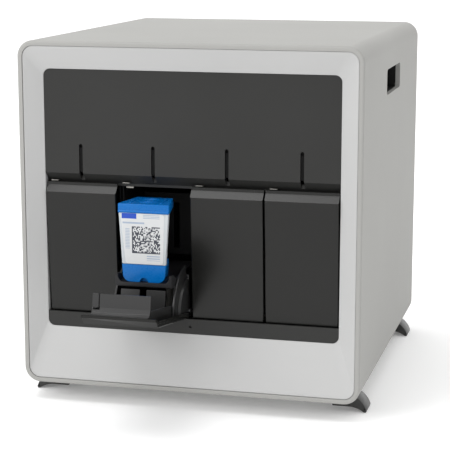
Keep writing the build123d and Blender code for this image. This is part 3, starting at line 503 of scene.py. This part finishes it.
# The cartridge's lid: a blue moulding with a rolled front flange, a ring-shaped port on top and two low ribs.
# It is welded to the clear body below. All its walls taper a little towards the foot.
lid_low, lid_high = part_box("cartridge_lid")
middle_x = (lid_low.x + lid_high.x) / 2
front_y = lid_low.y
cartridge_blue = coating(
    "cartridge_blue", (0.0, 0.125, 0.42), (0.0, 0.115, 0.385), 0.28, 900.0, 0.00002, sheen=0.25)
lid = brick(
    "cartridge_cap", (middle_x - 0.0208, front_y, 0.16475), (middle_x + 0.0208, front_y + 0.004, 0.17170))
pick(lid, "FACE", lambda c: c.y > front_y + 0.0039)
bpy.ops.mesh.extrude_region_move(TRANSFORM_OT_translate={"value": (0, 0.020, 0)})
bpy.ops.transform.resize(value=(0.80, 1, 1), center_override=(middle_x, front_y, 0))
bpy.ops.mesh.extrude_region_move(TRANSFORM_OT_translate={"value": (0, 0.0088, 0)})
bpy.ops.transform.resize(value=(0.90, 1, 1), center_override=(middle_x, front_y, 0))
soften(lid, 0.0004)
flange = brick(
    "cartridge_flange", (middle_x - 0.0209, front_y - 0.0006, 0.1645),
    (middle_x + 0.0209, front_y + 0.004, 0.1667))
soften(flange, 0.0009, 4)
port_y = front_y + 0.0174
bpy.ops.mesh.primitive_cylinder_add(
    vertices=64, radius=0.0085, depth=0.0022, location=(middle_x, port_y, 0.17100))
port = bpy.context.object
port.name = "cartridge_port"
bpy.ops.object.transform_apply(location=True, rotation=True, scale=True)
bpy.ops.object.mode_set(mode="EDIT")
for thickness, depth in (
    (0.0012, 0.0), (0.0004, -0.0009), (0.0020, 0.0), (0.0004, 0.0009), (0.0012, 0.0), (0.0004, -0.0012),
):
    pick(port, "FACE", lambda c: c.z > 0.1705 and (c.xy - Vector((middle_x, port_y))).length < 0.0001)
    bpy.ops.mesh.inset(thickness=thickness, depth=depth)
soften(port, 0.00015, 2)
ribs = []
for side, name in ((-1, "cartridge_rib_left"), (1, "cartridge_rib_right")):
    x = middle_x + side * 0.0125
    rib = brick(name, (x - 0.0007, front_y + 0.006, 0.1710), (x + 0.0007, front_y + 0.024, 0.1722))
    soften(rib, 0.0003)
    ribs.append(rib)
for made in (lid, flange, port, *ribs):
    made.data.materials.append(cartridge_blue)
    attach(made, "cartridge")
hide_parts("cartridge_lid")

# The cartridge's body: a clear moulding, faintly milky, with a round chamber and a flat tube behind
# that reaches into the heater when the carriage is in.


def draw_back(made, waist, back, depth):
    """Draws a cartridge block's rear face back: a step in to the waist, a taper and a rounded end."""
    rear = front_y + 0.004
    pick(made, "FACE", lambda c: c.y > rear - 0.0001)
    bpy.ops.mesh.extrude_region_move(TRANSFORM_OT_translate={"value": (0, 0.0015, 0)})
    bpy.ops.transform.resize(value=(waist, 1, 1), center_override=(middle_x, rear, 0))
    bpy.ops.mesh.extrude_region_move(TRANSFORM_OT_translate={"value": (0, depth - 0.0115, 0)})
    bpy.ops.transform.resize(value=(back, 1, 1), center_override=(middle_x, rear, 0))
    bpy.ops.mesh.extrude_region_move(TRANSFORM_OT_translate={"value": (0, 0.006, 0)})
    bpy.ops.transform.resize(value=(0.5, 1, 1), center_override=(middle_x, rear, 0))


clear_moulding = coating("clear_moulding", (0.74, 0.78, 0.80), (0.68, 0.72, 0.75), 0.22, 500.0, 0.00002)
clear_moulding.node_tree.nodes["Principled BSDF"].inputs["Transmission Weight"].default_value = 0.35
body = brick(
    "cartridge_shell", (middle_x - 0.0204, front_y, 0.1235), (middle_x + 0.0204, front_y + 0.004, 0.1646))
draw_back(body, 0.79, 0.80, 0.0328)
pick(body, "VERT", lambda c: c.z < 0.13)
bpy.ops.transform.resize(value=(0.876, 1, 1), center_override=(middle_x, 0, 0))
pick(body, "FACE", lambda c: c.y > front_y + 0.0327)
bpy.ops.mesh.inset(thickness=0.0008, depth=0.0004)
soften(body, 0.0006)
tube = brick(
    "reaction_tube", (middle_x - 0.0013, front_y + 0.0300, 0.1300),
    (middle_x + 0.0013, front_y + 0.0390, 0.1450))
pick(tube, "FACE", lambda c: c.y > front_y + 0.0389)
bpy.ops.mesh.extrude_region_move(TRANSFORM_OT_translate={"value": (0, 0.0115, 0)})
bpy.ops.transform.resize(value=(0.8, 1, 0.15), center_override=(middle_x, 0, 0.1380))
soften(tube, 0.0005)
for made in (body, tube):
    made.data.materials.append(clear_moulding)
    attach(made, "cartridge")
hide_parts("cartridge_body")

# The cartridge's foot: a blue moulding with round lower corners in front and a small notch in the middle,
# snapped onto the body from below. It stands in the carriage's nest.
foot_block = brick(
    "cartridge_foot", (middle_x - 0.0179, front_y, 0.1092), (middle_x + 0.0179, front_y + 0.004, 0.1234))
draw_back(foot_block, 0.75, 0.95, 0.0328)
pick(foot_block, "VERT", lambda c: c.z < 0.11)
bpy.ops.transform.resize(value=(0.95, 1, 1), center_override=(middle_x, 0, 0))
pick(foot_block, "EDGE", lambda c: c.z < 0.1093 and abs(c.x - middle_x) > 0.0165 and c.y < front_y + 0.003)
bpy.ops.mesh.bevel(offset=0.0058, segments=8, affect="EDGES")
soften(foot_block, 0.0004)
bpy.ops.mesh.primitive_cylinder_add(
    vertices=32, radius=0.0036, depth=0.008, location=(middle_x, front_y, 0.1092),
    rotation=(math.radians(90), 0, 0))
notch = bpy.context.object
cut = foot_block.modifiers.new("notch", "BOOLEAN")
cut.object = notch
bpy.ops.object.select_all(action="DESELECT")
foot_block.select_set(True)
bpy.context.view_layer.objects.active = foot_block
bpy.ops.object.modifier_apply(modifier="notch")
bpy.data.objects.remove(notch)
foot_block.data.materials.append(cartridge_blue)
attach(foot_block, "cartridge")
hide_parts("cartridge_base")

# The cartridge's label: white film with rounded corners, printed with a dark block, plain grey lines
# and a square of generic dots.
label_left = middle_x - 0.0188
label_width = 0.0358
label_low = 0.1240
label_top = 0.1643
label = brick(
    "cartridge_label", (label_left, front_y - 0.0002, label_low),
    (label_left + label_width, front_y + 0.0001, label_top))
pick(label, "VERT", lambda c: c.z < 0.13 and c.x < middle_x)
bpy.ops.transform.translate(value=(0.0040, 0, 0))
pick(label, "VERT", lambda c: c.z < 0.13 and c.x > middle_x)
bpy.ops.transform.translate(value=(-0.0010, 0, 0))
pick(
    label, "EDGE", lambda c: abs(c.x - middle_x) > 0.0140 and abs(c.y - front_y) < 0.0001
    and not label_low + 0.0001 < c.z < label_top - 0.0001)
bpy.ops.mesh.bevel(offset=0.0022, segments=6, affect="EDGES")
bpy.ops.object.mode_set(mode="OBJECT")
label_print = bpy.data.materials.new("label_print")
label_print.use_nodes = True
nodes = label_print.node_tree.nodes
links = label_print.node_tree.links
place = nodes.new("ShaderNodeTexCoord")
split = nodes.new("ShaderNodeSeparateXYZ")
links.new(place.outputs["Object"], split.inputs["Vector"])


def step(kind, a, b):
    """One arithmetic step between sockets or numbers."""
    node = nodes.new("ShaderNodeMath")
    node.operation = kind
    for slot, value in enumerate((a, b)):
        if isinstance(value, (int, float)):
            node.inputs[slot].default_value = value
        else:
            links.new(value, node.inputs[slot])
    return node.outputs[0]


across = step("DIVIDE", step("SUBTRACT", split.outputs["X"], label_left), label_width)
down = step("DIVIDE", step("SUBTRACT", label_top, split.outputs["Z"]), label_top - label_low)


def field(x0, x1, y0, y1):
    """One inside a rectangle of the label, zero outside."""
    wide = step("MULTIPLY", step("GREATER_THAN", across, x0), step("LESS_THAN", across, x1))
    high = step("MULTIPLY", step("GREATER_THAN", down, y0), step("LESS_THAN", down, y1))
    return step("MULTIPLY", wide, high)


def rows(x0, x1, y0, y1, pitch):
    """Plain lines inside a rectangle, as wide apart as they are thick."""
    line = step("LESS_THAN", step("FRACT", step("DIVIDE", step("SUBTRACT", down, y0), pitch), 0), 0.5)
    return step("MULTIPLY", field(x0, x1, y0, y1), line)


cells = nodes.new("ShaderNodeCombineXYZ")
links.new(step("FLOOR", step("MULTIPLY", across, 42.0), 0), cells.inputs["X"])
links.new(step("FLOOR", step("MULTIPLY", down, 43.0), 0), cells.inputs["Y"])
dots = nodes.new("ShaderNodeTexWhiteNoise")
dots.noise_dimensions = "2D"
links.new(cells.outputs["Vector"], dots.inputs["Vector"])
code = step("MULTIPLY", field(0.262, 0.905, 0.256, 0.791), step("GREATER_THAN", dots.outputs["Value"], 0.48))
frame_left = field(0.262, 0.286, 0.256, 0.791)
frame_low = field(0.262, 0.905, 0.768, 0.791)
code = step("MAXIMUM", code, step("MAXIMUM", frame_left, frame_low))
grey = step("MAXIMUM", rows(0.52, 0.90, 0.02, 0.10, 0.03), rows(0.05, 0.55, 0.17, 0.24, 0.07))
beside = rows(0.11, 0.21, 0.30, 0.70, 0.030)
below = rows(0.60, 0.90, 0.83, 0.93, 0.045)
grey = step("MAXIMUM", grey, step("MAXIMUM", beside, below))
cloud = nodes.new("ShaderNodeTexNoise")
cloud.inputs["Scale"].default_value = 220.0
links.new(place.outputs["Object"], cloud.inputs["Vector"])
paper = nodes.new("ShaderNodeValToRGB")
paper.color_ramp.elements[0].color = (0.53, 0.54, 0.55, 1)
paper.color_ramp.elements[1].color = (0.57, 0.58, 0.58, 1)
links.new(cloud.outputs["Fac"], paper.inputs["Fac"])
ink = paper.outputs["Color"]
for mask, colour in (
    (grey, (0.30, 0.36, 0.45, 1)),
    (code, (0.03, 0.035, 0.05, 1)),
    (field(0.03, 0.37, 0.0, 0.105), (0.0, 0.05, 0.40, 1)),
):
    mix = nodes.new("ShaderNodeMix")
    mix.data_type = "RGBA"
    links.new(mask, mix.inputs["Factor"])
    links.new(ink, mix.inputs["A"])
    mix.inputs["B"].default_value = colour
    ink = mix.outputs["Result"]
links.new(ink, nodes["Principled BSDF"].inputs["Base Color"])
nodes["Principled BSDF"].inputs["Roughness"].default_value = 0.38
label.data.materials.append(label_print)
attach(label, "cartridge")
